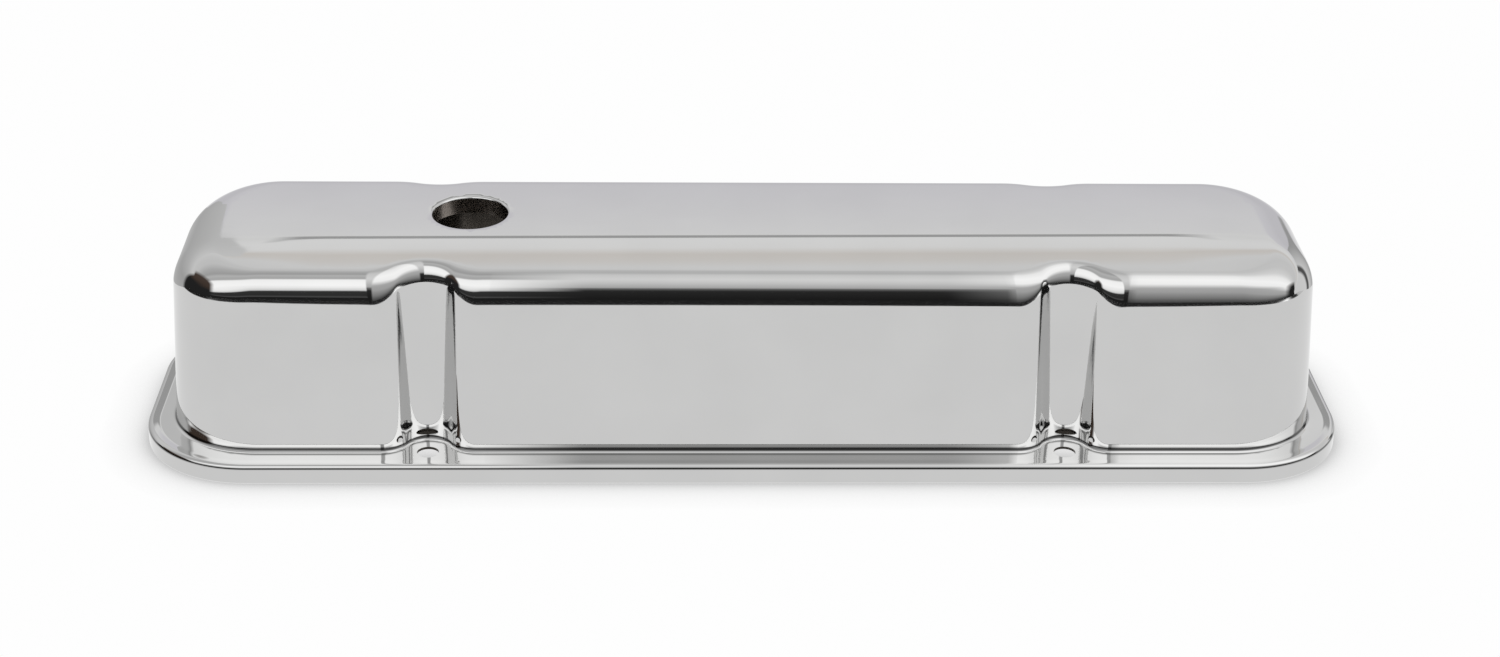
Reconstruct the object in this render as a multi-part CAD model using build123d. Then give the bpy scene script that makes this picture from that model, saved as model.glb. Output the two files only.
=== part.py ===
from build123d import *
import math
import os

# Engine valve cover: one steel sheet, deep drawn into a long rounded box with an open bottom.
# Frame: X along the cover, Y across it, +Z up, origin at the bottom centre of the flange.
# Millimetres. "Front" is the -Y side, "rear" the +Y side.

# ---- sheet -------------------------------------------------------------------------------
sheet = 1.0                  # thickness of the drawn steel sheet

# ---- flange ------------------------------------------------------------------------------
flange_length = 464.0
flange_width = 124.0
flange_corner = 42.7         # plan radius of the flange corners
hem_height = 7.4             # drop from the flange's face to the bottom of its turned-down hem
hem_round = 1.9              # outer bend between flange and hem

# ---- body plan at its foot ---------------------------------------------------------------
flange_end = 10.5            # flange left outside the body at the two ends
flange_front = 11.3          # flange left in front of the body
flange_rear = 11.0           # flange left behind the body
body_corner = 35.0           # plan radius of the body corners at the foot
foot_round = 3.0             # bend where the wall turns out into the flange

# ---- walls and top -----------------------------------------------------------------------
cover_height = 77.7          # height of the top at the body's centre line
top_tilt = 2.8               # degrees that the top rises from front to rear
wall_draft = 2.4             # degrees that the rear and end walls lean in
front_draft = 7.9            # degrees that the front wall leans in
side_round = 10.0            # roundover from the long walls to the top
end_round = 18.0             # larger roundover from the end walls to the top

# ---- bolts and the scallops that clear them ----------------------------------------------
bolt_spacing_x = 242.8
bolt_front = 51.0            # distance of the front bolt row from the flange's centre line
bolt_rear = 50.0
bolt_hole = 8.4
bolt_clearance = 10.5        # from a bolt's axis to the scallop wall behind it

front_foot_half_width = 17.0
front_top_depth = 9.8        # depth and half width just under the roundover
front_top_half_width = 18.5
front_crown_depth = 5.8      # depth and half width where the roundover meets the top
front_crown_half_width = 23.0
rear_foot_half_width = 20.0
rear_top_depth = 4.0
rear_top_half_width = 17.0
rear_crown_depth = 2.8
rear_crown_half_width = 18.0
shoulder_share = 0.52        # share of a scallop's curve that its convex shoulders take

# ---- breather hole -----------------------------------------------------------------------
breather_bore = 29.2         # inside diameter of the turned-down collar
breather_x = -107.3
breather_y = 11.5
collar_depth = 6.5           # from the top's outer face to the collar's lower edge
collar_lip = 0.8             # bevelled mouth of the collar

# ---- steps of the bends ------------------------------------------------------------------
foot_steps = (0, 45, 90)
crown_steps = (0, 18, 36, 54, 72, 90)

# ---- derived -----------------------------------------------------------------------------
body_front = -flange_width / 2 + flange_front
body_rear = flange_width / 2 - flange_rear
body_half_length = flange_length / 2 - flange_end
body_middle = (body_front + body_rear) / 2
foot_z = hem_height + foot_round
side_centre_z = cover_height - side_round
end_centre_z = cover_height - end_round
draft_rate = math.tan(math.radians(wall_draft))
front_rate = math.tan(math.radians(front_draft))
tilt_rate = math.tan(math.radians(top_tilt))
front_foot_depth = -bolt_front + bolt_clearance - body_front
rear_foot_depth = body_rear - (bolt_rear - bolt_clearance)
breather_z = cover_height + tilt_rate * (breather_y - body_middle)
collar_foot = breather_z - collar_depth
bolt_places = [
    (side * bolt_spacing_x / 2, row) for row in (-bolt_front, bolt_rear) for side in (-1, 1)
]


def blend(low, high, share):
    return low + (high - low) * share


def point_at(centre, radius, degrees):
    angle = math.radians(degrees)
    return (centre[0] + radius * math.cos(angle), centre[1] + radius * math.sin(angle))


def arc(centre, radius, start, sweep):
    """Arc through three points, so that neighbours share exact ends."""
    points = [point_at(centre, radius, start + sweep * share) for share in (0, 0.5, 1)]
    return ThreePointArc(*points)


def scallop(x_mid, wall, outward, depth, half_width, inset):
    """Three arcs of a scallop in a long wall, met while going round anticlockwise.

    outward is -1 on the front wall and +1 on the rear wall. inset moves the curve into the
    body by growing the hollow arc and shrinking the two shoulders about the same centres.
    """
    turn = 2 * math.degrees(math.atan2(depth, half_width))
    radii = half_width / math.sin(math.radians(turn))
    shoulder = radii * shoulder_share
    hollow = radii - shoulder
    face = -90 if outward < 0 else 90
    near = (x_mid + outward * half_width, wall - outward * shoulder)
    far = (x_mid - outward * half_width, wall - outward * shoulder)
    middle = (x_mid, wall - outward * (depth - hollow))
    return [
        arc(near, shoulder - inset, face, turn),
        arc(middle, hollow + inset, face + 180 + turn, -2 * turn),
        arc(far, shoulder - inset, face - turn, turn),
    ]


def notch(foot, top, crown, rise_share, round_share):
    """A scallop's depth or half width: blended up the wall, then again over the roundover."""
    return blend(blend(foot, top, min(rise_share, 1)), crown, round_share)


def section(z, skin, side_turn, end_turn, tilt_share):
    """Closed outline at height z of the face that lies skin inside the body's outer face.

    side_turn and end_turn are how far the roundovers have moved in at this height.
    """
    rise = z - foot_z
    lean = draft_rate * rise
    share = rise / (side_centre_z - foot_z)
    turned = side_turn / (side_round - skin)
    front = body_front + front_rate * rise
    rear = body_rear - lean
    half_length = body_half_length - lean - skin - end_turn
    corner = body_corner - lean - skin - (side_turn + end_turn) / 2
    low = front + skin + side_turn
    high = rear - skin - side_turn
    # the skin's offset turns from sideways on the wall to downwards at the top
    offset = skin * (1 - turned)
    front_notch = (
        notch(front_foot_depth, front_top_depth, front_crown_depth, share, turned),
        notch(front_foot_half_width, front_top_half_width, front_crown_half_width, share, turned),
        offset,
    )
    rear_notch = (
        notch(rear_foot_depth, rear_top_depth, rear_crown_depth, share, turned),
        notch(rear_foot_half_width, rear_top_half_width, rear_crown_half_width, share, turned),
        offset,
    )
    mid = bolt_spacing_x / 2
    curves = []
    curves += scallop(-mid, low - offset, -1, *front_notch)
    curves += scallop(mid, low - offset, -1, *front_notch)
    curves.append(arc((half_length - corner, low + corner), corner, -90, 90))
    curves.append(arc((half_length - corner, high - corner), corner, 0, 90))
    curves += scallop(mid, high + offset, 1, *rear_notch)
    curves += scallop(-mid, high + offset, 1, *rear_notch)
    curves.append(arc((corner - half_length, high - corner), corner, 90, 90))
    curves.append(arc((corner - half_length, low + corner), corner, 180, 90))
    edges = []
    for curve, following in zip(curves, curves[1:] + curves[:1]):
        edges.append(curve.edge())
        if (curve @ 1 - following @ 0).length > 1e-6:
            edges.append(Line(curve @ 1, following @ 0).edge())
    rate = tilt_rate * tilt_share
    tilted = Plane(
        origin=(0, 0, z - rate * body_middle), x_dir=(1, 0, 0), z_dir=(0, -rate, 1)
    )
    return tilted.from_local_coords(Wire(edges))


def round_turn(z, centre_z, radius):
    """How far a quarter round of this radius has moved in at height z."""
    height = max(0.0, min(z - centre_z, radius))
    return radius - math.sqrt(radius**2 - height**2)


def tilt_share(z):
    """Share of the top's tilt that a section at height z has: 0 on the walls, 1 at the top."""
    share = (z - end_centre_z) / (cover_height - end_centre_z)
    return max(0.0, min(share, 1.0))


def body(skin):
    """The drawn box as a solid: its outer face with skin 0, its inner face with skin = sheet."""
    foot_radius = foot_round + skin
    foot = []
    for degrees in foot_steps:
        angle = math.radians(degrees)
        turn = -foot_radius * (1 - math.sin(angle))
        foot.append(section(foot_z - foot_radius * math.cos(angle), skin, turn, turn, 0))
    wall = [section(z, skin, 0, 0, 0) for z in (foot_z, end_centre_z)]
    heights = [
        side_centre_z + (side_round - skin) * math.sin(math.radians(degrees))
        for degrees in crown_steps
    ]
    crown = []
    for z in [end_centre_z] + heights:
        side_turn = round_turn(z, side_centre_z, side_round - skin)
        end_turn = round_turn(z, end_centre_z, end_round - skin)
        share = min(tilt_share(z) * cover_height / (cover_height - skin), 1.0)
        crown.append(section(z, skin, side_turn, end_turn, share))
    return Solid.make_loft(foot + wall[1:] + crown[1:], ruled=True)


def flange_block(inset, bottom, top):
    """Rounded rectangle of the flange's outline, moved in by inset, from bottom to top."""
    outline = RectangleRounded(
        flange_length - 2 * inset, flange_width - 2 * inset, flange_corner - inset
    )
    return extrude(Pos(0, 0, bottom) * outline, top - bottom)


def flange(skin):
    """Solid under the flange's outer face with skin 0, under its inner face with skin = sheet."""
    block = flange_block(skin, -skin, hem_height - skin)
    rim = block.faces().sort_by(Axis.Z)[-1].edges()
    return fillet(rim, hem_round) if skin == 0 else block


def cylinder(radius, x, y, bottom, top):
    return Pos(x, y, (bottom + top) / 2) * Cylinder(radius, top - bottom)


def on_bore(edge):
    """Whether an edge runs right round the breather bore."""
    box = edge.bounding_box()
    centre = box.center()
    offset = math.hypot(centre.X - breather_x, centre.Y - breather_y)
    return offset < sheet / 2 and abs(box.size.X - breather_bore) < sheet / 2


def valve_cover():
    outer = body(0)
    shell = flange(0) + outer - flange(sheet) - body(sheet)
    bore = breather_bore / 2
    collar = cylinder(bore + sheet, breather_x, breather_y, collar_foot, 2 * cover_height)
    shell += collar & outer
    shell -= cylinder(bore, breather_x, breather_y, collar_foot - sheet, 2 * cover_height)
    mouth = shell.edges().filter_by(on_bore).sort_by(Axis.Z)[-1]
    shell = chamfer(mouth, collar_lip)
    for x, y in bolt_places:
        shell -= cylinder(bolt_hole / 2, x, y, 0, foot_z)
    return shell


os.makedirs("parts", exist_ok=True)
export_step(valve_cover(), "parts/valve_cover.step")
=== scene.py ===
import math

import bmesh
import bpy
import numpy as np
from mathutils import Matrix, Vector
from mathutils.geometry import delaunay_2d_cdt


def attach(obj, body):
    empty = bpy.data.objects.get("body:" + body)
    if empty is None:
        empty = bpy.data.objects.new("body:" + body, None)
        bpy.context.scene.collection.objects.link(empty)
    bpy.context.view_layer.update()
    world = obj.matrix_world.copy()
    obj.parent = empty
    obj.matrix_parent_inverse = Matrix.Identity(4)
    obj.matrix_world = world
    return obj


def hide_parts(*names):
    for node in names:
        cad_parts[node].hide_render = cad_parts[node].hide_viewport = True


# Chrome valve cover in a white studio. The mesh is made from named measures in millimetres
# and turned into metres at the end. X runs along the cover, "front" is -Y, +Z is up.

MM = 0.001

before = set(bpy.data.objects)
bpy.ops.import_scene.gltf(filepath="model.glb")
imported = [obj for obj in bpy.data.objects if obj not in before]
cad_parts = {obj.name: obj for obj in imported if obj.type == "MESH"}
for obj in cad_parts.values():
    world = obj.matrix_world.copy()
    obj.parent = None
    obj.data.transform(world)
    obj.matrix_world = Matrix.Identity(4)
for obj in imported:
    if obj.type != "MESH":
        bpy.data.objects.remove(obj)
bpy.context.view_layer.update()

# ---- measures of the cover, in millimetres -------------------------------------------------
SHEET = 1.0
FLANGE_LENGTH, FLANGE_WIDTH, FLANGE_CORNER = 464.0, 124.0, 42.7
HEM_HEIGHT, HEM_ROUND = 7.4, 1.9
FLANGE_END, FLANGE_FRONT, FLANGE_REAR = 10.5, 11.3, 11.0
# the flange's face lies a little under its hem's bend: how far, at what angle, how far straight
GUTTER_DROP, GUTTER_TURN, GUTTER_RUN = 0.25, 5.5, 1.6
BODY_CORNER, FOOT_ROUND = 35.0, 1.6
WALL_DRAFT, FRONT_DRAFT = 2.4, 7.9
BOLT_SPACING_X, BOLT_FRONT, BOLT_REAR = 242.8, 51.0, 50.0
BOLT_HOLE, BOLT_CLEARANCE = 8.4, 10.5
BREATHER_BORE, BREATHER_X, BREATHER_Y = 29.2, -107.3, 11.5
COLLAR_DEPTH, COLLAR_LIP = 6.5, 0.8

# scallops: (depth, half width) just under the roundover and at the top's edge
FRONT_TOP_NOTCH, FRONT_EDGE_NOTCH = (9.3, 21.0), (7.3, 24.0)
REAR_TOP_NOTCH, REAR_EDGE_NOTCH = (4.0, 17.0), (2.8, 18.0)
FRONT_FOOT_HALF_WIDTH, REAR_FOOT_HALF_WIDTH = 18.0, 20.0
SHOULDER_SHARE = 0.52        # share of a scallop's curve that its convex shoulders take
NOTCH_BEND = 1.0             # about as many radians as a scallop's arcs turn

# roundovers: how far in and how far down from the top's edge
FRONT_IN, FRONT_DOWN = 7.8, 11.4
REAR_IN, REAR_DOWN = 10.0, 10.0
END_IN, END_DOWN = 18.0, 18.0
NOTCH_DOWN, REAR_NOTCH_DOWN = 7.8, 8.8
EDGE_CORNER = 20.0
EASY_RADIUS, TIGHT_RADIUS, EASY_TURN = 21.0, 7.2, 24.5   # the front roundover's two bends
NOTCH_EASY = 0.5             # share of those two bends that is left inside a front scallop

# ---- shape of the top ----------------------------------------------------------------------
TOP_REAR_Y, TOP_REAR_Z = 39.0, 79.4
TOP_SLOPE = math.tan(math.radians(1.0))
CREASE_Y, CREASE_SLANT = -9.4, 0.0122   # line along the top in front of which it falls faster
CREASE_ROUND = 2.0
CREASE_SLOPE, CREASE_BOW = 0.04, 0.00117
CREASE_REACH, CREASE_FADE = 180.0, 22.0
PAST_CREASE_EASE = 30.0      # beyond the crease's ends, the fall sets in over this distance

# ---- derived -------------------------------------------------------------------------------
BODY_FRONT = -FLANGE_WIDTH / 2 + FLANGE_FRONT
BODY_REAR = FLANGE_WIDTH / 2 - FLANGE_REAR
BODY_HALF_LENGTH = FLANGE_LENGTH / 2 - FLANGE_END
FLANGE_Z = HEM_HEIGHT - GUTTER_DROP
FOOT_Z = HEM_HEIGHT + FOOT_ROUND
WALL_Z = 67.7                # height at which the top of the ruled walls is drawn
DRAFT_RATE = math.tan(math.radians(WALL_DRAFT))
FRONT_RATE = math.tan(math.radians(FRONT_DRAFT))
FRONT_FOOT_NOTCH = (-BOLT_FRONT + BOLT_CLEARANCE - BODY_FRONT, FRONT_FOOT_HALF_WIDTH)
REAR_FOOT_NOTCH = (BODY_REAR - (BOLT_REAR - BOLT_CLEARANCE), REAR_FOOT_HALF_WIDTH)
BOLTS = [(s * BOLT_SPACING_X / 2, y) for y in (-BOLT_FRONT, BOLT_REAR) for s in (-1, 1)]

# ---- how finely curves are divided -----------------------------------------------------------
SHOULDER_STEPS, HOLLOW_STEPS, CORNER_STEPS = 12, 18, 30
MIDDLE_STEPS, SIDE_STEPS, END_STEPS = 60, 14, 12
FOOT_RINGS, WALL_RINGS, CROWN_RINGS = 11, 17, 31
WALL_CLUSTER = 1.7           # above 1, the wall's rings crowd towards its top
HEM_LONG_STEPS, HEM_SHORT_STEPS, HEM_CORNER_STEPS = 110, 14, 40
HEM_FACE_RINGS, HEM_BEND_RINGS = 4, 13
GUTTER_SHARES = (0.33, 0.67, 1.0)
BOLT_STEPS, BORE_STEPS, LIP_RINGS = 36, 64, 8
GRID_STEP, CREASE_GRID_STEP, CREASE_GRID_REACH = 2.0, 0.5, 4
TOP_GRID_X, TOP_GRID_FRONT, TOP_GRID_REAR = 222, -42, 46
GRID_SLACK = 0.1             # so that a grid takes in its last line
GRID_CLEARANCE = 0.9         # distance that a grid's points keep from the loops round them
DISTANCE_BATCH = 2000        # points whose distances are worked out at a time
FLAT_TRIANGLE = 0.005        # twice the area under which a triangle is dropped, in square millimetres
NEARLY_SAME = 1e-6           # distance at which the triangle mesh takes two points for one
SHARP_EDGE = math.radians(35)

# the two last platings are chrome painted dark as the shade inside the cover, its bolt holes and its
# breather
CHROME, PAINTED_SHADE_PLATE, PAINTED_BORE_SHADE = 0, 1, 2   # places in PLATINGS


def smooth(t):
    t = np.clip(t, 0.0, 1.0)
    return t * t * (3 - 2 * t)


def blend(low, high, share):
    return low + (high - low) * share


def arc(centre, radius, start, sweep, steps):
    """Points of an arc without its last one."""
    a = np.radians(start + sweep * np.arange(steps) / steps)
    return np.column_stack((centre[0] + radius * np.cos(a), centre[1] + radius * np.sin(a)))


def run(a, b, steps):
    """Points of a straight run without its last one."""
    t = (np.arange(steps) / steps)[:, None]
    return np.array(a) * (1 - t) + np.array(b) * t


def circle(x, y, radius, steps):
    return arc((x, y), radius, 0, 360, steps)


def rounded_rectangle(length, width, corner):
    x, y = length / 2, width / 2
    u, v = x - corner, y - corner
    return np.vstack([
        run((-u, -y), (u, -y), HEM_LONG_STEPS), arc((u, -v), corner, -90, 90, HEM_CORNER_STEPS),
        run((x, -v), (x, v), HEM_SHORT_STEPS), arc((u, v), corner, 0, 90, HEM_CORNER_STEPS),
        run((u, y), (-u, y), HEM_LONG_STEPS), arc((-u, v), corner, 90, 90, HEM_CORNER_STEPS),
        run((-x, v), (-x, -v), HEM_SHORT_STEPS), arc((-u, -v), corner, 180, 90, HEM_CORNER_STEPS),
    ])


def scallop(x_mid, wall, outward, depth, half_width, inset):
    """Points of a scallop's three arcs, its first point and where it ends.

    outward is -1 on the front wall and +1 on the rear wall. inset moves the curve into the
    body by growing the hollow arc and shrinking the two shoulders about the same centres.
    """
    turn = 2 * math.degrees(math.atan2(depth, half_width))
    radii = half_width / math.sin(math.radians(turn))
    shoulder = radii * SHOULDER_SHARE
    hollow = radii - shoulder
    face = -90 if outward < 0 else 90
    near = (x_mid + outward * half_width, wall - outward * shoulder)
    far = (x_mid - outward * half_width, wall - outward * shoulder)
    middle = (x_mid, wall - outward * (depth - hollow))
    points = [
        arc(near, shoulder - inset, face, turn, SHOULDER_STEPS),
        arc(middle, hollow + inset, face + 180 + turn, -2 * turn, HOLLOW_STEPS),
        arc(far, shoulder - inset, face - turn, turn, SHOULDER_STEPS),
    ]
    end = (far[0], far[1] + outward * (shoulder - inset))
    return np.vstack(points), points[0][0], end


def outline(half, low, high, corner, front_notch, rear_notch, inset=0.0):
    """Closed outline of the body, always with the same number of points."""
    mid = BOLT_SPACING_X / 2
    front, rear = low - inset, high + inset
    fl, fl_start, fl_end = scallop(-mid, front, -1, *front_notch, inset)
    fr, fr_start, fr_end = scallop(mid, front, -1, *front_notch, inset)
    rr, rr_start, rr_end = scallop(mid, rear, 1, *rear_notch, inset)
    rl, rl_start, rl_end = scallop(-mid, rear, 1, *rear_notch, inset)
    x = half - corner
    return np.vstack([
        fl, run(fl_end, fr_start, MIDDLE_STEPS), fr, run(fr_end, (x, low), SIDE_STEPS),
        arc((x, low + corner), corner, -90, 90, CORNER_STEPS),
        run((half, low + corner), (half, high - corner), END_STEPS),
        arc((x, high - corner), corner, 0, 90, CORNER_STEPS),
        run((x, high), rr_start, SIDE_STEPS), rr, run(rr_end, rl_start, MIDDLE_STEPS), rl,
        run(rl_end, (-x, high), SIDE_STEPS),
        arc((-x, high - corner), corner, 90, 90, CORNER_STEPS),
        run((-half, high - corner), (-half, low + corner), END_STEPS),
        arc((-x, low + corner), corner, 180, 90, CORNER_STEPS),
        run((-x, low), fl_start, SIDE_STEPS),
    ])


def along(front, end, rear, front_notch, rear_notch):
    """One value for each column of an outline: eased round the corners and into the scallops."""
    shoulder = SHOULDER_SHARE / (1 - math.cos(NOTCH_BEND))
    hollow = (1 - SHOULDER_SHARE) / (1 - math.cos(NOTCH_BEND))
    part = np.arange(SHOULDER_STEPS) / SHOULDER_STEPS
    half = np.arange(HOLLOW_STEPS) / HOLLOW_STEPS
    dip = np.concatenate((
        shoulder * (1 - np.cos(NOTCH_BEND * part)),
        1 - hollow * (1 - np.cos(NOTCH_BEND * (1 - 2 * half))),
        shoulder * (1 - np.cos(NOTCH_BEND * (1 - part))),
    ))
    turn = smooth(np.arange(CORNER_STEPS) / CORNER_STEPS)
    into_front = blend(front, front_notch, dip)
    into_rear = blend(rear, rear_notch, dip)
    middle, side, short = np.ones(MIDDLE_STEPS), np.ones(SIDE_STEPS), np.ones(END_STEPS)
    return np.concatenate([
        into_front, front * middle, into_front, front * side,
        blend(front, end, turn), end * short, blend(end, rear, turn),
        rear * side, into_rear, rear * middle, into_rear, rear * side,
        blend(rear, end, turn), end * short, blend(end, front, turn), front * side,
    ])


def top_height(x, y):
    """Height of the top's outer face: a gentle slope, and a crease in front of which it bows down."""
    plane = TOP_REAR_Z - TOP_SLOPE * (TOP_REAR_Y - y)
    ahead = CREASE_Y + CREASE_SLANT * x - y
    # a straight fall that starts with a small round instead of a kink
    creased = np.where(
        ahead < -CREASE_ROUND, 0.0,
        np.where(ahead > CREASE_ROUND, ahead, (ahead + CREASE_ROUND) ** 2 / (4 * CREASE_ROUND)),
    )
    past = np.maximum(ahead, 0.0)
    uncreased = smooth(past / PAST_CREASE_EASE) * ahead * (ahead > 0)
    fade = 1 - smooth((np.abs(x) - CREASE_REACH + CREASE_FADE) / (2 * CREASE_FADE))
    return plane - CREASE_SLOPE * blend(uncreased, creased, fade) - CREASE_BOW * past**2


def in_loop(points, loop):
    """Whether points lie inside a closed polygon."""
    x, y = points[:, 0], points[:, 1]
    inside = np.zeros(len(points), bool)
    for (x1, y1), (x2, y2) in zip(loop, np.roll(loop, -1, axis=0)):
        if y1 == y2:
            continue
        crosses = (y1 > y) != (y2 > y)
        inside ^= crosses & (x < (x2 - x1) * (y - y1) / (y2 - y1) + x1)
    return inside


def in_region(points, loops):
    """Whether points lie inside the first loop and outside the others."""
    inside = in_loop(points, loops[0])
    for hole in loops[1:]:
        inside &= ~in_loop(points, hole)
    return inside


def clear_of(points, edge):
    """Whether points keep the grid's clearance from the points of an edge."""
    clear = np.ones(len(points), bool)
    for start in range(0, len(points), DISTANCE_BATCH):
        batch = slice(start, start + DISTANCE_BATCH)
        apart = np.hypot(
            points[batch, None, 0] - edge[None, :, 0], points[batch, None, 1] - edge[None, :, 1])
        clear[batch] = apart.min(1) > GRID_CLEARANCE
    return clear


def grid_points(x_lines, y_lines, slant=0.0):
    """Points where the lines of a grid cross, its long lines turned by the slant."""
    gx, gy = np.meshgrid(x_lines, y_lines)
    return np.column_stack((gx.ravel(), (gy + slant * gx).ravel()))


class Shell:
    """Grows one mesh from rings of points and filled regions, with a material for each face."""

    def __init__(self):
        self.points, self.faces, self.looks, self.count = [], [], [], 0

    def add(self, xy, z):
        self.points.append(np.column_stack((xy, np.broadcast_to(z, len(xy)))))
        ids = np.arange(self.count, self.count + len(xy))
        self.count += len(xy)
        return ids

    def all_points(self):
        return np.vstack(self.points)

    def bridge(self, a, b, flip=False, look=CHROME):
        """Quads between two rings with the same number of points."""
        quads = np.column_stack((a, np.roll(a, -1), np.roll(b, -1), b))
        if flip:
            quads = quads[:, ::-1]
        self.faces += quads.tolist()
        self.looks += [look] * len(quads)

    def fill(self, outer, holes, grid, height, flip, look):
        """Fills between loops with a triangle mesh that also takes in the grid's points."""
        known = self.all_points()
        loops = [outer] + holes
        loops_xy = [known[loop][:, :2] for loop in loops]
        edge_xy = np.vstack(loops_xy)
        grid = grid[in_region(grid, loops_xy)]
        grid = grid[clear_of(grid, edge_xy)]
        ids = self.add(grid, height(grid[:, 0], grid[:, 1]))
        all_ids = np.concatenate(loops + [ids])
        edges, at = [], 0
        for loop in loops:
            n = len(loop)
            edges += [(at + i, at + (i + 1) % n) for i in range(n)]
            at += n
        points = [Vector(p) for p in np.vstack((edge_xy, grid)).tolist()]
        # 0 asks for triangles that fill the whole outline, True for the points they come from
        verts, _, tris, origin, _, _ = delaunay_2d_cdt(points, edges, [], 0, NEARLY_SAME, True)
        back = [all_ids[o[0]] for o in origin]
        flat = np.array([v[:] for v in verts])
        tris = np.array([t for t in tris if len(t) == 3])
        a, b, c = flat[tris[:, 0]], flat[tris[:, 1]], flat[tris[:, 2]]
        turn = (b[:, 0] - a[:, 0]) * (c[:, 1] - a[:, 1]) - (b[:, 1] - a[:, 1]) * (c[:, 0] - a[:, 0])
        kept = in_region(flat[tris].mean(1), loops_xy) & (np.abs(turn) > FLAT_TRIANGLE)
        for triangle, positive in zip(tris[kept], turn[kept] > 0):
            face = [int(back[i]) for i in triangle]
            self.faces.append(face if positive != flip else face[::-1])
            self.looks.append(look)


def profile(turn, lean, easy):
    """Share of the way in and of the way up when the surface has turned so many degrees.

    easy is 1 for the front's two bends and 0 for a plain quarter round. The turn starts at
    the wall's own lean.
    """
    a, start = np.radians(turn), np.radians(lean)
    quarter_in = (np.cos(start) - np.cos(a)) / np.cos(start)
    quarter_up = (np.sin(a) - np.sin(start)) / (1 - np.sin(start))
    knee = math.radians(EASY_TURN)
    low, high = np.minimum(a, knee), np.maximum(a, knee)
    tight_in = TIGHT_RADIUS * (math.cos(knee) - np.cos(high))
    tight_up = TIGHT_RADIUS * (np.sin(high) - math.sin(knee))
    two_in = EASY_RADIUS * (np.cos(start) - np.cos(low)) + tight_in
    two_up = EASY_RADIUS * (np.sin(low) - np.sin(start)) + tight_up
    whole_in = EASY_RADIUS * (np.cos(start) - math.cos(knee)) + TIGHT_RADIUS * math.cos(knee)
    whole_up = EASY_RADIUS * (math.sin(knee) - np.sin(start)) + TIGHT_RADIUS * (1 - math.sin(knee))
    return (blend(quarter_in, two_in / whole_in, easy), blend(quarter_up, two_up / whole_up, easy))


def foot_rings():
    """Rings of the bend from the flange's face up into the walls."""
    rings = []
    for degrees in np.linspace(0, 90, FOOT_RINGS):
        a = math.radians(degrees)
        out = FOOT_ROUND * (1 - math.sin(a))
        z = FOOT_Z - FOOT_ROUND * math.cos(a) - GUTTER_DROP * math.cos(a)
        xy = outline(
            BODY_HALF_LENGTH + out, BODY_FRONT - out, BODY_REAR + out, BODY_CORNER + out,
            FRONT_FOOT_NOTCH, REAR_FOOT_NOTCH, -out)
        rings.append(np.column_stack((xy, np.full(len(xy), z))))
    return rings


def body_rings():
    """Rings of points of the body's outer face, from the flange up to the top's edge."""
    lean, front_lean = DRAFT_RATE * (WALL_Z - FOOT_Z), FRONT_RATE * (WALL_Z - FOOT_Z)
    rings = foot_rings()
    foot = rings[-1][:, :2]
    half, front, rear = BODY_HALF_LENGTH - lean, BODY_FRONT + front_lean, BODY_REAR - lean
    top = outline(half, front, rear, BODY_CORNER - lean, FRONT_TOP_NOTCH, REAR_TOP_NOTCH)
    edge = outline(
        half - END_IN, front + FRONT_IN, rear - REAR_IN, EDGE_CORNER,
        FRONT_EDGE_NOTCH, REAR_EDGE_NOTCH)
    down = along(FRONT_DOWN, END_DOWN, REAR_DOWN, NOTCH_DOWN, REAR_NOTCH_DOWN)
    easy = along(1.0, 0.0, 0.0, NOTCH_EASY, 0.0)
    start = top_height(edge[:, 0], edge[:, 1]) - down
    rate = (top - foot) / (WALL_Z - FOOT_Z)
    for share in 1 - np.linspace(1, 0, WALL_RINGS)[1:] ** WALL_CLUSTER:
        z = FOOT_Z + (start - FOOT_Z) * share
        rings.append(np.column_stack((foot + rate * (z - FOOT_Z)[:, None], z)))
    wall = rings[-1][:, :2]
    inward = edge - wall
    reach = np.hypot(inward[:, 0], inward[:, 1])
    leaning = np.degrees(np.arctan((rate * inward).sum(1) / reach))
    fall = top_height(edge[:, 0], edge[:, 1]) - top_height(wall[:, 0], wall[:, 1])
    for share in np.linspace(0, 1, CROWN_RINGS)[1:]:
        turn = leaning + (90 - leaning) * share
        way_in, way_up = profile(turn, leaning, easy)
        xy = wall + inward * way_in[:, None]
        z = top_height(xy[:, 0], xy[:, 1]) - down * (1 - way_up)
        # the first points start from the wall, and the last ones run out along the top's slope
        z += fall * (1 - way_in) ** 2
        rings.append(np.column_stack((xy, z)))
    return np.array(rings)


def inner_rings(rings):
    """The same rings moved in by the sheet's thickness along the surface's normal."""
    along_ring = np.roll(rings, -1, axis=1) - np.roll(rings, 1, axis=1)
    up_ring = np.empty_like(rings)
    up_ring[1:-1] = rings[2:] - rings[:-2]
    up_ring[0], up_ring[-1] = rings[1] - rings[0], rings[-1] - rings[-2]
    normal = np.cross(along_ring, up_ring)
    normal /= np.linalg.norm(normal, axis=2, keepdims=True)
    normal[0] = (0, 0, 1)
    return rings - normal * SHEET


def hem_rings(skin):
    """(inset, height) of each ring from the hem's foot over its bend and down to the flange."""
    bend = HEM_ROUND - skin
    levels = [(skin, z) for z in np.linspace(0, HEM_HEIGHT - HEM_ROUND, HEM_FACE_RINGS)]
    for degrees in np.linspace(0, 90 + GUTTER_TURN, HEM_BEND_RINGS)[1:]:
        a = math.radians(degrees)
        levels.append((HEM_ROUND - bend * math.cos(a), HEM_HEIGHT - HEM_ROUND + bend * math.sin(a)))
    # a short straight fall, then a hollow bend that brings the face back to level
    inset, z = levels[-1]
    slope = math.tan(math.radians(GUTTER_TURN))
    fall = z - (FLANGE_Z - skin)
    ease = 2 * (fall - slope * GUTTER_RUN) / slope
    levels.append((inset + GUTTER_RUN, z - slope * GUTTER_RUN))
    for share in GUTTER_SHARES:
        d = ease * share
        levels.append((inset + GUTTER_RUN + d, z - slope * GUTTER_RUN - slope * (d - d * share / 2)))
    return levels


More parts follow.
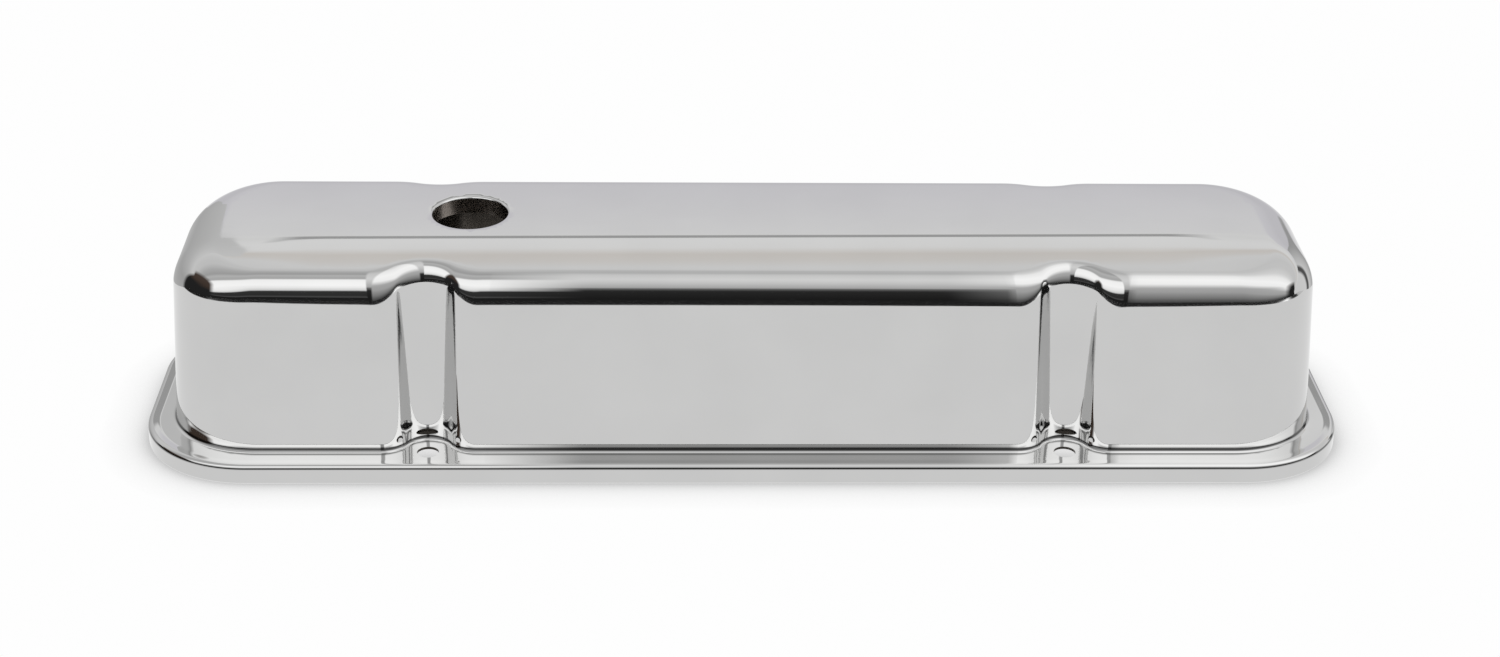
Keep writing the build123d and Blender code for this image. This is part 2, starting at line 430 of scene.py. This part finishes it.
def add_stack(shell, rings, flip, look):
    """Bridges rings of (outline, height) one after the other; gives the first's and last's ids."""
    ids = [shell.add(xy, z) for xy, z in rings]
    for a, b in zip(ids, ids[1:]):
        shell.bridge(a, b, flip, look)
    return ids[0], ids[-1]


def add_face(shell, body, skin):
    """One face of the sheet, the outer with skin 0 or the inner with skin = SHEET.

    Gives the loops where the two faces meet: the hem's foot, the bolt holes, the breather's mouth.
    """
    # the inner face takes the plating painted dark as the shade under the cover
    flip, look = skin > 0, PAINTED_SHADE_PLATE if skin else CHROME
    hem = []
    for inset, z in hem_rings(skin):
        size = FLANGE_LENGTH - 2 * inset, FLANGE_WIDTH - 2 * inset, FLANGE_CORNER - inset
        hem.append((rounded_rectangle(*size), z))
    hem_foot, hem_end = add_stack(shell, hem, flip, look)
    walls = [(ring[:, :2], ring[:, 2]) for ring in body]
    foot, edge = add_stack(shell, walls, flip, look)
    # flange face with bolt holes
    holes = [shell.add(circle(x, y, BOLT_HOLE / 2, BOLT_STEPS), FLANGE_Z - skin) for x, y in BOLTS]
    half_x, half_y = FLANGE_LENGTH / 2, FLANGE_WIDTH / 2
    grid = grid_points(
        np.arange(-half_x, half_x + GRID_SLACK, GRID_STEP),
        np.arange(-half_y, half_y + GRID_SLACK, GRID_STEP))
    shell.fill(hem_end, [foot] + holes, grid, lambda x, y: FLANGE_Z - skin, flip, look)
    # top face with the breather's mouth, on a grid that is finer along the crease
    xy = circle(
        BREATHER_X, BREATHER_Y, BREATHER_BORE / 2 + (SHEET if skin else COLLAR_LIP), BORE_STEPS)
    mouth = shell.add(xy, top_height(xy[:, 0], xy[:, 1]) - skin)
    ahead, behind = CREASE_Y - CREASE_GRID_REACH, CREASE_Y + CREASE_GRID_REACH
    y_lines = np.concatenate((
        np.arange(TOP_GRID_FRONT, ahead, GRID_STEP),
        np.arange(ahead, behind, CREASE_GRID_STEP),
        np.arange(behind, TOP_GRID_REAR, GRID_STEP)))
    x_lines = np.arange(-TOP_GRID_X, TOP_GRID_X + GRID_SLACK, GRID_STEP)
    grid = grid_points(x_lines, y_lines, CREASE_SLANT)
    shell.fill(edge, [mouth], grid, lambda x, y: top_height(x, y) - skin, flip, look)
    return hem_foot, holes, mouth


def add_collar(shell, outer_mouth, inner_mouth):
    """The breather's round lip, its bore painted dim as shade, its lower edge and its outer wall
    painted dark as shade.
    """
    bore = BREATHER_BORE / 2
    lip = [outer_mouth]
    for degrees in np.linspace(0, 90, LIP_RINGS)[1:]:
        a = math.radians(degrees)
        xy = circle(BREATHER_X, BREATHER_Y, bore + COLLAR_LIP * (1 - math.sin(a)), BORE_STEPS)
        z = top_height(xy[:, 0], xy[:, 1]) - COLLAR_LIP * (1 - math.cos(a))
        lip.append(shell.add(xy, z))
    for a, b in zip(lip, lip[1:]):
        shell.bridge(a, b)
    foot_z = float(top_height(np.array([BREATHER_X]), np.array([BREATHER_Y]))[0]) - COLLAR_DEPTH
    bore_foot = shell.add(circle(BREATHER_X, BREATHER_Y, bore, BORE_STEPS), foot_z)
    wall_foot = shell.add(circle(BREATHER_X, BREATHER_Y, bore + SHEET, BORE_STEPS), foot_z)
    # painted shade: the bore is painted dim and the outer wall dark, as the shade inside the breather
    shell.bridge(lip[-1], bore_foot, look=PAINTED_BORE_SHADE)
    shell.bridge(bore_foot, wall_foot)
    shell.bridge(wall_foot, inner_mouth, look=PAINTED_SHADE_PLATE)


def face_outwards(mesh):
    bm = bmesh.new()
    bm.from_mesh(mesh)
    bmesh.ops.recalc_face_normals(bm, faces=bm.faces)
    if bm.calc_volume(signed=True) < 0:
        bmesh.ops.reverse_faces(bm, faces=bm.faces)
    bm.to_mesh(mesh)
    bm.free()


def build_cover():
    shell = Shell()
    body = body_rings()
    outer_hem, outer_holes, outer_mouth = add_face(shell, body, 0.0)
    inner_hem, inner_holes, inner_mouth = add_face(shell, inner_rings(body), SHEET)
    shell.bridge(inner_hem, outer_hem)
    # painted shade: the bolt holes' walls are painted dark, which draws a dark ring round each hole
    for a, b in zip(outer_holes, inner_holes):
        shell.bridge(a, b, look=PAINTED_SHADE_PLATE)
    add_collar(shell, outer_mouth, inner_mouth)
    mesh = bpy.data.meshes.new("cover_shell")
    mesh.from_pydata((shell.all_points() * MM).tolist(), [], shell.faces)
    mesh.update()
    mesh.polygons.foreach_set("material_index", np.array(shell.looks, dtype=np.int32))
    face_outwards(mesh)
    for polygon in mesh.polygons:
        polygon.use_smooth = True
    mesh.set_sharp_from_angle(angle=SHARP_EDGE)
    return mesh


# ---- camera ----------------------------------------------------------------------------------
PHOTO_WIDTH = 1500
FOCAL_PIXELS = 2595.0
SENSOR_WIDTH = 36
YAW, PITCH, ROLL = math.radians(2.09), math.radians(26.50), math.radians(1.00)
CAMERA_PLACE = Vector((-31.4, -914.7, 490.7)) * MM
CLIP_START, CLIP_END = 0.01, 50


def add_camera():
    forward = Vector(
        (math.sin(YAW) * math.cos(PITCH), math.cos(YAW) * math.cos(PITCH), -math.sin(PITCH)))
    level = Vector((math.cos(YAW), -math.sin(YAW), 0))
    upward = level.cross(forward)
    right = math.cos(ROLL) * level + math.sin(ROLL) * upward
    up = -math.sin(ROLL) * level + math.cos(ROLL) * upward
    data = bpy.data.cameras.new("camera")
    data.sensor_fit = "HORIZONTAL"
    data.sensor_width = SENSOR_WIDTH
    data.lens = FOCAL_PIXELS / PHOTO_WIDTH * SENSOR_WIDTH
    data.clip_start, data.clip_end = CLIP_START, CLIP_END
    camera = bpy.data.objects.new("camera", data)
    bpy.context.scene.collection.objects.link(camera)
    rotation = Matrix((right, up, -forward)).transposed()
    camera.matrix_world = Matrix.Translation(CAMERA_PLACE) @ rotation.to_4x4()
    bpy.context.scene.camera = camera


# ---- nodes -----------------------------------------------------------------------------------
def linear(value):
    v = value / 255
    return v / 12.92 if v <= 0.04045 else ((v + 0.055) / 1.055) ** 2.4


def grey(value):
    return (value,) * 3


class Tree:
    """Short calls that add nodes to a node tree and wire them. Values are numbers or sockets."""

    def __init__(self, owner):
        owner.use_nodes = True
        self.nodes, self.links = owner.node_tree.nodes, owner.node_tree.links

    def put(self, socket, value):
        if isinstance(value, bpy.types.NodeSocket):
            self.links.new(value, socket)
        else:
            socket.default_value = value

    def add(self, kind, inputs=(), **settings):
        """A node with its settings, and its first inputs or the ones named."""
        node = self.nodes.new("ShaderNode" + kind)
        for name, value in settings.items():
            setattr(node, name, value)
        for name, value in inputs.items() if isinstance(inputs, dict) else enumerate(inputs):
            self.put(node.inputs[name], value)
        return node

    def math(self, operation, *values):
        return self.add("Math", values, operation=operation).outputs[0]

    def step(self, value, low, high, to_low=0.0, to_high=1.0):
        """to_low below low, to_high above high, straight between."""
        return self.add("MapRange", (value, low, high, to_low, to_high)).outputs[0]

    def mix(self, share, low, high, blend_type="MIX"):
        inputs = {"Factor": share, 6: low, 7: high}
        return self.add("Mix", inputs, data_type="RGBA", blend_type=blend_type).outputs[2]

    def mix_shader(self, share, low, high):
        return self.add("MixShader", (share, low, high)).outputs[0]

    def ramp(self, factor, stops):
        """Colour ramp whose stops are (position, (red, green, blue)), in rising order."""
        node = self.add("ValToRGB", (factor,))
        elements = node.color_ramp.elements
        while len(elements) > 1:
            elements.remove(elements[-1])
        for i, (position, colour) in enumerate(stops):
            element = elements[0] if i == 0 else elements.new(position)
            element.position = position
            element.color = (*colour, 1)
        return node.outputs[0]


# ---- plating ---------------------------------------------------------------------------------
# name, colour and its spread, roughness from and to, depth and size of the waves in metres
PLATINGS = [
    ("chrome", (0.605, 0.605, 0.602), 0.015, (0.02, 0.045), 6e-6, 0.03),
    # painted shade: the two last are dark platings standing in for the shade inside the cover and its
    # holes
    ("painted_shade_plate", (0.055, 0.049, 0.043), 0.12, (0.22, 0.28), 4e-6, 0.02),
    ("painted_bore_shade", (0.20, 0.178, 0.16), 0.05, (0.20, 0.26), 4e-6, 0.02)]
# painted shade: two bands painted darker, a dark reflection in the hem's bend and shade in the
# crevice at the foot of the walls, set against the photograph's brightness there: height in
# millimetres and share of the plating's brightness kept there
FOOT_PAINTED_SHADE = [
    (5.7, 1.0), (5.9, 0.2), (6.3, 0.2), (6.5, 1.0),
    (7.42, 1.0), (7.55, 0.3), (7.9, 0.15), (8.4, 0.2), (8.9, 1.0)]
HEIGHT_SCALE = 10.0          # spreads the cover's heights in metres over the ramp's 0 to 1
NOISE_LOW, NOISE_HIGH = 0.35, 0.65
CLOUD_SIZE, CLOUD_DETAIL = 0.035, 3
MARK_SIZE, MARK_DETAIL, MARK_STRETCH = 0.004, 4, (0.12, 1, 1)   # polishing marks along the cover
WAVE_DETAIL = 2


def plated(name, colour, spread, roughness, wave, wave_size):
    """Metal with slight clouding, uneven polish, a very shallow waviness and two darker bands of
    painted shade low down.
    """
    material = bpy.data.materials.new(name)
    tree = Tree(material)
    shader = tree.nodes["Principled BSDF"]
    place = tree.add("TexCoord").outputs["Object"]

    def noise(size, detail, stretch=(1, 1, 1)):
        mapping = tree.add("Mapping", {"Vector": place, "Scale": stretch}).outputs[0]
        inputs = {"Vector": mapping, "Scale": 1 / size, "Detail": detail}
        return tree.add("TexNoise", inputs).outputs["Fac"]

    low, high = ([c * (1 + side * spread) for c in colour] + [1] for side in (-1, 1))
    clouds = tree.step(noise(CLOUD_SIZE, CLOUD_DETAIL), NOISE_LOW, NOISE_HIGH)
    cloudy = tree.mix(clouds, low, high)
    height = tree.add("SeparateXYZ", (place,)).outputs["Z"]
    # painted shade: darker bands by height, over the hem's bend and at the foot of the walls
    painted_bands = tree.ramp(
        tree.math("MULTIPLY", height, HEIGHT_SCALE),
        [(z * MM * HEIGHT_SCALE, grey(share)) for z, share in FOOT_PAINTED_SHADE])
    marks = noise(MARK_SIZE, MARK_DETAIL, MARK_STRETCH)
    bump = {"Strength": 1.0, "Distance": wave, "Height": noise(wave_size, WAVE_DETAIL)}
    tree.put(shader.inputs["Metallic"], 1.0)
    tree.put(shader.inputs["Base Color"], tree.mix(1.0, cloudy, painted_bands, "MULTIPLY"))
    tree.put(shader.inputs["Roughness"], tree.step(marks, NOISE_LOW, NOISE_HIGH, *roughness))
    tree.put(shader.inputs["Normal"], tree.add("Bump", bump).outputs[0])
    return material


# ---- floor and table -------------------------------------------------------------------------
FLOOR_HALF, STAGE_Z = 6, -0.0002
TABLE_HALF, TABLE_FRONT, TABLE_REAR = 1.2, -1.2, 0.12
PAINT_WHITE = (0.95, 0.95, 0.95, 1)
SHADOW_REACH, SHADOW_SAMPLES = 0.020, 8
# painted shadow: share of open sky over a point of the floor, and how light the floor's glow is
# painted there, lighter again where it is nearly closed in, as in the bolt holes
PAINTED_SHADOW_STOPS = [(0.30, 0.80), (0.42, 0.50), (0.55, 0.58), (1.0, 0.99)]
UNDER_COVER = (("X", 0.21), ("Y", 0.030))    # half lengths of the floor's plainly shaded middle
GRAZING_LOW, GRAZING_HIGH = 0.845, 0.855     # facing from which the table turns glossy
GLOSS_ROUGHNESS = 0.1


def plane(name, x0, x1, y0, y1, material):
    mesh = bpy.data.meshes.new(name)
    corners = [(x0, y0, STAGE_Z), (x1, y0, STAGE_Z), (x1, y1, STAGE_Z), (x0, y1, STAGE_Z)]
    mesh.from_pydata(corners, [], [(0, 1, 2, 3)])
    mesh.materials.append(material)
    piece = bpy.data.objects.new(name, mesh)
    bpy.context.scene.collection.objects.link(piece)
    return piece


def matt_white(name):
    """A matt white material, with its tree and its shader's output."""
    material = bpy.data.materials.new(name)
    tree = Tree(material)
    shader = tree.nodes["Principled BSDF"]
    shader.inputs["Base Color"].default_value = PAINT_WHITE
    shader.inputs["Roughness"].default_value = 1.0
    shader.inputs["Specular IOR Level"].default_value = 0.0
    return material, tree, shader.outputs[0]


def floor_white():
    """Even white that gives off light, with a painted close shadow and painted light in the bolt
    holes, and shaded white under the cover.
    """
    material, tree, shaded = matt_white("floor_white")
    # painted shadow: the glow darkens with the occlusion found round each point of the floor
    closeness = tree.add(
        "AmbientOcclusion", {"Distance": SHADOW_REACH}, samples=SHADOW_SAMPLES).outputs["AO"]
    white = tree.ramp(closeness, [(share, grey(value)) for share, value in PAINTED_SHADOW_STOPS])
    glow = tree.add("Emission", {"Color": white}).outputs[0]
    spot = tree.add("TexCoord").outputs["Object"]
    away = tree.add("VectorMath", (spot,), operation="ABSOLUTE").outputs[0]
    apart = tree.add("SeparateXYZ", (away,))
    within = [tree.math("LESS_THAN", apart.outputs[axis], reach) for axis, reach in UNDER_COVER]
    surface = tree.mix_shader(tree.math("MULTIPLY", *within), glow, shaded)
    tree.put(tree.nodes["Material Output"].inputs["Surface"], surface)
    return material


def table_gloss():
    material, tree, base = matt_white("table_gloss")
    gloss = tree.add("BsdfGlossy", {"Roughness": GLOSS_ROUGHNESS}).outputs[0]
    facing = tree.add("LayerWeight").outputs["Facing"]
    surface = tree.mix_shader(tree.step(facing, GRAZING_LOW, GRAZING_HIGH), base, gloss)
    tree.put(tree.nodes["Material Output"].inputs["Surface"], surface)
    return material


def add_floor():
    """The floor is what the camera sees, the table what the chrome reflects."""
    floor = plane("floor", -FLOOR_HALF, FLOOR_HALF, -FLOOR_HALF, FLOOR_HALF, floor_white())
    floor.visible_glossy = False
    table = plane("table", -TABLE_HALF, TABLE_HALF, TABLE_FRONT, TABLE_REAR, table_gloss())
    table.visible_camera = False
    table.visible_diffuse = False
    table.visible_shadow = False


# ---- studio ----------------------------------------------------------------------------------
# What the chrome reflects, by the turn of a direction round the X axis: 0 degrees is the front
# horizon, 90 straight up, 180 the rear horizon. Values are sRGB greys or colours as seen in the
# chrome. They follow brightness readings of the photograph down three columns, at the left, the
# middle and the right, each put at the turn that the cover reflects there.
CHROME_GREY = 0.60           # about the share of the light that the chrome gives back
TURN_START, WHOLE_TURN = -90, 360
SECOND_BOUNCE = 1.5          # glossy depth above which a ray has met the chrome more than once
BELOW = [(-20, 20), (-5, 35), (0, 25)]
LEFT_LAMP = BELOW + [
    (2, 30), (3.2, 85), (4.5, 42), (13, 48), (14.5, 205), (20, 230), (32, 242), (58, 238), (63, 225),
    (68, 165), (76, 165), (86, 174), (96, 152), (110, 165), (124, 186)]
MIDDLE_LAMP = BELOW + [
    (15, 38), (20, 110), (24, 160), (33, 172), (49, 190), (60, 199), (70, 204), (81, 200), (96, 194),
    (110, 172), (124, 176)]
RIGHT_LAMP = [
    (-20, 20), (-8, 50), (-4, 58), (1, 90), (5, 115), (12, 140), (16, 155), (30, 167), (41, 205),
    (52, 236), (76, 242), (98, 230), (110, 205), (124, 190)]
SECOND_LAMP = BELOW + [(14, 45), (18, 200), (24, 281), (118, 250), (128, 160)]
OVERHEAD = [
    (134, 188), (141, 193), (143, 195), (143.6, (188, 184, 180)), (145.7, (188, 184, 180)),
    (146.3, 203), (149.6, 203), (152.4, 196), (153.6, 199),
    (154.3, (195, 195, 198)), (154.6, (187, 186, 190)), (163, (178, 177, 181)),
    (180, (172, 171, 175)), (200, 190), (240, 215)]
OVERHEAD_START, OVERHEAD_FULL = 128, 134
# the room beyond the softbox's two ends, by degrees above the horizon
ROOM = [
    (-90, 30), (8, 32), (14, (60, 50, 44)), (30, (70, 60, 54)), (45, (110, 104, 100)),
    (60, (165, 163, 166)), (90, 200)]
ROOM_FULL, ROOM_START = 126, 132
# where one lamp takes over from the next, and where the softbox ends, as a direction's X
LEFT_LAMP_SIDE, RIGHT_LAMP_SIDE = (-0.032, -0.070), (0.11, 0.18)
SOFTBOX_LEFT, SOFTBOX_RIGHT = (-0.84, -0.90), (0.96, 0.99)
ROOM_LEFT = (-0.90, -0.94)
# a darker card behind the left end, with a stepped edge, and one behind the right end: the X
# from which each stands, by turn, and how light they are
LEFT_CARD_EDGE = [
    (130, 1.5), (143, 0.152), (146.7, 0.149), (151, 0.159), (153.66, 0.163), (153.74, 0.198),
    (154.7, 0.202), (159.6, 0.30), (170, 0.34), (188, 0.36), (198, 0.26), (206, 0.15), (216, 0.15),
    (260, 0.9)]
RIGHT_CARD_EDGE = [(146, 1.5), (156, 0.52), (175, 0.48), (200, 0.44), (250, 0.8)]
LEFT_CARD_SOFT, RIGHT_CARD_SOFT = 0.001, 0.004
LEFT_CARD = [(140, 190), (150, 178), (160, 168), (185, 150), (230, 165)]
RIGHT_CARD_BY_X = [(0.44, 125), (0.60, 160), (0.75, 185), (0.79, 75), (0.83, 75), (0.87, 195)]
# a dark rod behind, which the crease in the top draws out into a line
ROD_GREY = 145
ROD_TURN, ROD_X = ((149.4, 149.9), (152.7, 152.1)), ((-0.148, -0.138), (0.207, 0.192))
PLAIN_LIGHT = 1.06           # strength of the white that all but the reflections see


def reflected_light(seen):
    """Linear colour of a light that shows as this sRGB grey or colour in the chrome."""
    rgb = seen if isinstance(seen, tuple) else grey(seen)
    return [linear(c) / CHROME_GREY for c in rgb]


def at_turn(degrees):
    """A turn from -90 to 270 degrees as a number from 0 to 1."""
    return (degrees - TURN_START) / WHOLE_TURN


def add_studio():
    world = bpy.data.worlds.new("studio")
    bpy.context.scene.world = world
    tree = Tree(world)
    tree.nodes.clear()
    world.cycles.sampling_method = "NONE"
    direction = tree.add("SeparateXYZ", (tree.add("TexCoord").outputs["Generated"],))
    aside, ahead, height = (direction.outputs[axis] for axis in "XYZ")
    angle = tree.math("ARCTAN2", height, tree.math("MULTIPLY", ahead, -1.0))
    highest, lowest = math.radians(TURN_START + WHOLE_TURN), math.radians(TURN_START)
    wrapped = tree.math("WRAP", angle, highest, lowest)
    turn = tree.math("ADD", tree.math("DIVIDE", wrapped, 2 * math.pi), at_turn(0))
    rise = tree.math("ADD", tree.math("MULTIPLY", height, 0.5), 0.5)

    def by_turn(stops):
        return tree.ramp(turn, [(at_turn(d), reflected_light(seen)) for d, seen in stops])

    def between_turns(first, last):
        return tree.step(turn, at_turn(first), at_turn(last))

    def beyond_edge(distance, edge, softness):
        """1 where the distance from the middle is greater than the card's edge at this turn."""
        edge_here = tree.ramp(turn, [(at_turn(d), grey(x)) for d, x in edge])
        return tree.step(tree.math("SUBTRACT", distance, edge_here), -softness, softness)

    overhead = by_turn(OVERHEAD)
    is_overhead = between_turns(OVERHEAD_START, OVERHEAD_FULL)
    left, middle, right, second_lamp = (
        tree.mix(is_overhead, by_turn(stops), overhead)
        for stops in (LEFT_LAMP, MIDDLE_LAMP, RIGHT_LAMP, SECOND_LAMP))
    room = tree.ramp(rise, [
        (0.5 + 0.5 * math.sin(math.radians(d)), reflected_light(seen)) for d, seen in ROOM])

    # the lamps in front, dim in the middle, and brighter where the chrome reflects itself
    path = tree.add("LightPath")
    again = tree.math("GREATER_THAN", path.outputs["Glossy Depth"], SECOND_BOUNCE)
    at_left, at_right = tree.step(aside, *LEFT_LAMP_SIDE), tree.step(aside, *RIGHT_LAMP_SIDE)
    first = tree.mix(at_right, tree.mix(at_left, middle, left), right)
    second = tree.mix(tree.math("MAXIMUM", at_left, at_right), middle, second_lamp)
    lamps = tree.mix(again, first, second)
    beyond = tree.math(
        "MAXIMUM", tree.step(aside, *SOFTBOX_LEFT), tree.step(aside, *SOFTBOX_RIGHT))
    in_front = between_turns(ROOM_START, ROOM_FULL)
    around = tree.mix(tree.math("MULTIPLY", beyond, in_front), lamps, room)

    # cards and rod behind
    to_left = tree.math("MULTIPLY", aside, -1.0)
    left_of = beyond_edge(to_left, LEFT_CARD_EDGE, LEFT_CARD_SOFT)
    right_of = beyond_edge(aside, RIGHT_CARD_EDGE, RIGHT_CARD_SOFT)
    right_card = tree.ramp(aside, [(x, reflected_light(seen)) for x, seen in RIGHT_CARD_BY_X])
    backed = tree.mix(right_of, tree.mix(left_of, around, by_turn(LEFT_CARD)), right_card)
    rod_turn = tree.math("MULTIPLY", *(between_turns(*side) for side in ROD_TURN))
    rod_x = tree.math("MULTIPLY", *(tree.step(aside, *side) for side in ROD_X))
    rod_colour = [*reflected_light(ROD_GREY), 1]
    backed = tree.mix(tree.math("MULTIPLY", rod_turn, rod_x), backed, rod_colour)
    surround = tree.mix(tree.step(aside, *ROOM_LEFT), backed, room)

    # reflections see the studio, and every other ray sees plain white
    reflected = tree.add("Background", {"Color": surround}).outputs[0]
    white = {"Color": (1, 1, 1, 1), "Strength": PLAIN_LIGHT}
    plain = tree.add("Background", white).outputs[0]
    choice = tree.mix_shader(path.outputs["Is Glossy Ray"], plain, reflected)
    tree.add("OutputWorld", {"Surface": choice})


# ---- scene -----------------------------------------------------------------------------------
add_camera()
mesh = build_cover()
cover = bpy.data.objects.new("cover_shell", mesh)
bpy.context.scene.collection.objects.link(cover)
for plating in PLATINGS:
    mesh.materials.append(plated(*plating))
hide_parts("valve_cover")
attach(cover, "root")
add_floor()
add_studio()
bpy.context.scene.view_settings.view_transform = "Standard"
